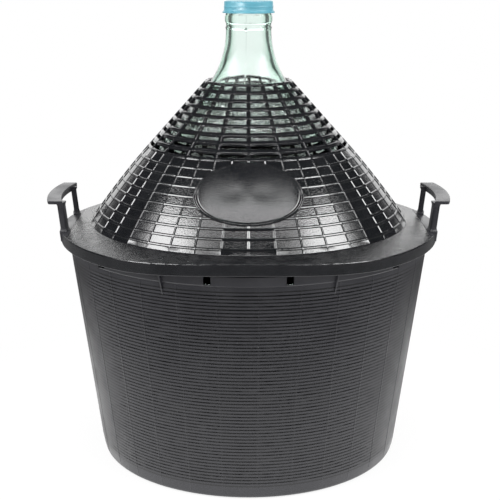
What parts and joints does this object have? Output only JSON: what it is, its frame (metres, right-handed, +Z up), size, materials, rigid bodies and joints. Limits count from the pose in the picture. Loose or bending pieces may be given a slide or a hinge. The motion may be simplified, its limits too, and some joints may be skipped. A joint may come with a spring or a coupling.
{
  "type": "demijohn",
  "caption": "Large glass demijohn in a tapered plastic basket with two carrying handles, an openwork conical cover and a push-on cap.",
  "frame": {"origin": "middle of the flat base of the basket, at floor level", "axes": "+Z up along the axis of the bottle, X through the two carrying handles, the oval label plate faces -Y"},
  "size_m": [0.4752, 0.446, 0.5355],
  "materials": {
    "basket_plastic": "finely ribbed dark grey moulded plastic, satin",
    "cover_plastic": "near-black moulded plastic, glossy and a little scuffed",
    "green_glass": "clear pale green bottle glass",
    "cap_plastic": "light blue moulded plastic, satin gloss",
    "seal_foam": "white closed foam"
  },
  "bodies": {
    "basket": {"basket": "basket_plastic"},
    "glass": {"glass_bottle": "green_glass"},
    "cover": {"cover": "cover_plastic"},
    "cap": {"cap": "cap_plastic", "cap_seal": "seal_foam"}
  },
  "joints": [
    {"name": "glass_lift", "type": "slide", "parent": "basket", "child": "glass", "axis": [0, 0, 1], "range_m": [0, 0.32]},
    {"name": "cover_lift", "type": "slide", "parent": "glass", "child": "cover", "axis": [0, 0, 1], "range_m": [0, 0.29]},
    {"name": "cap_lift", "type": "slide", "parent": "glass", "child": "cap", "axis": [0, 0, 1], "range_m": [0, 0.03]}
  ]
}
